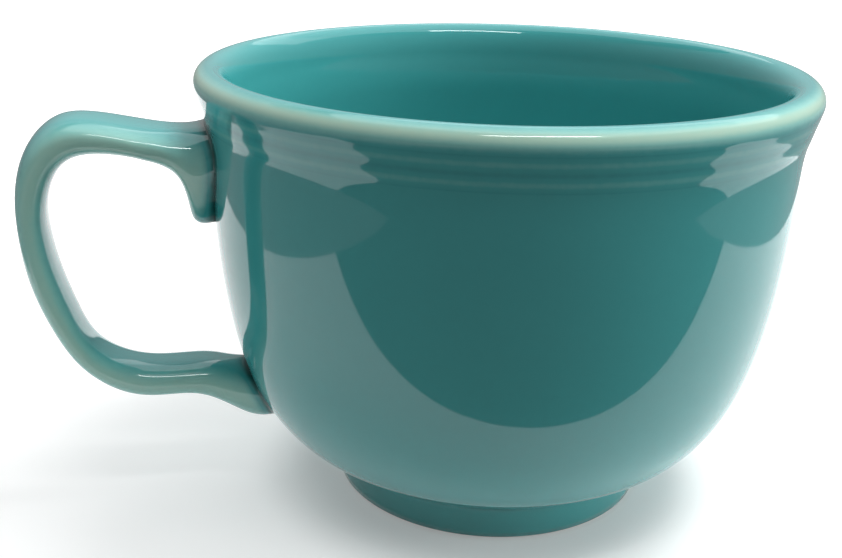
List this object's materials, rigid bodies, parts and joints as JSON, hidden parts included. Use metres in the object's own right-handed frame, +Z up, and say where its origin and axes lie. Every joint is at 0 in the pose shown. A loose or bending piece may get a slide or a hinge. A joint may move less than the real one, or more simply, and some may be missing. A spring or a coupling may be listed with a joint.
{
  "type": "coffee mug",
  "caption": "Wide glazed ceramic coffee mug with a rounded lip, a low ring band, a round belly, a foot ring and a flared strap handle on one side.",
  "frame": {"origin": "middle of the bounding box, handle included, on the surface that the mug stands on", "axes": "+Z up, -X towards the handle, the handle lies in the plane y = 0"},
  "size_m": [0.1504, 0.1176, 0.0854],
  "materials": {
    "clay": "bare fired clay, fine and matte",
    "slip": "fillet of slip under dark pooled glaze",
    "body_glaze": "glossy turquoise glaze, paler where it thins on edges",
    "handle_glaze": "glossy turquoise glaze, darker where it pools at the joints",
    "base_glaze": "glossy turquoise glaze"
  },
  "bodies": {
    "root": {"cup_body": "clay", "handle": "clay", "upper_slip_joint": "slip", "lower_slip_joint": "slip", "body_glaze": "body_glaze", "handle_glaze": "handle_glaze", "base_glaze": "base_glaze"}
  },
  "joints": []
}
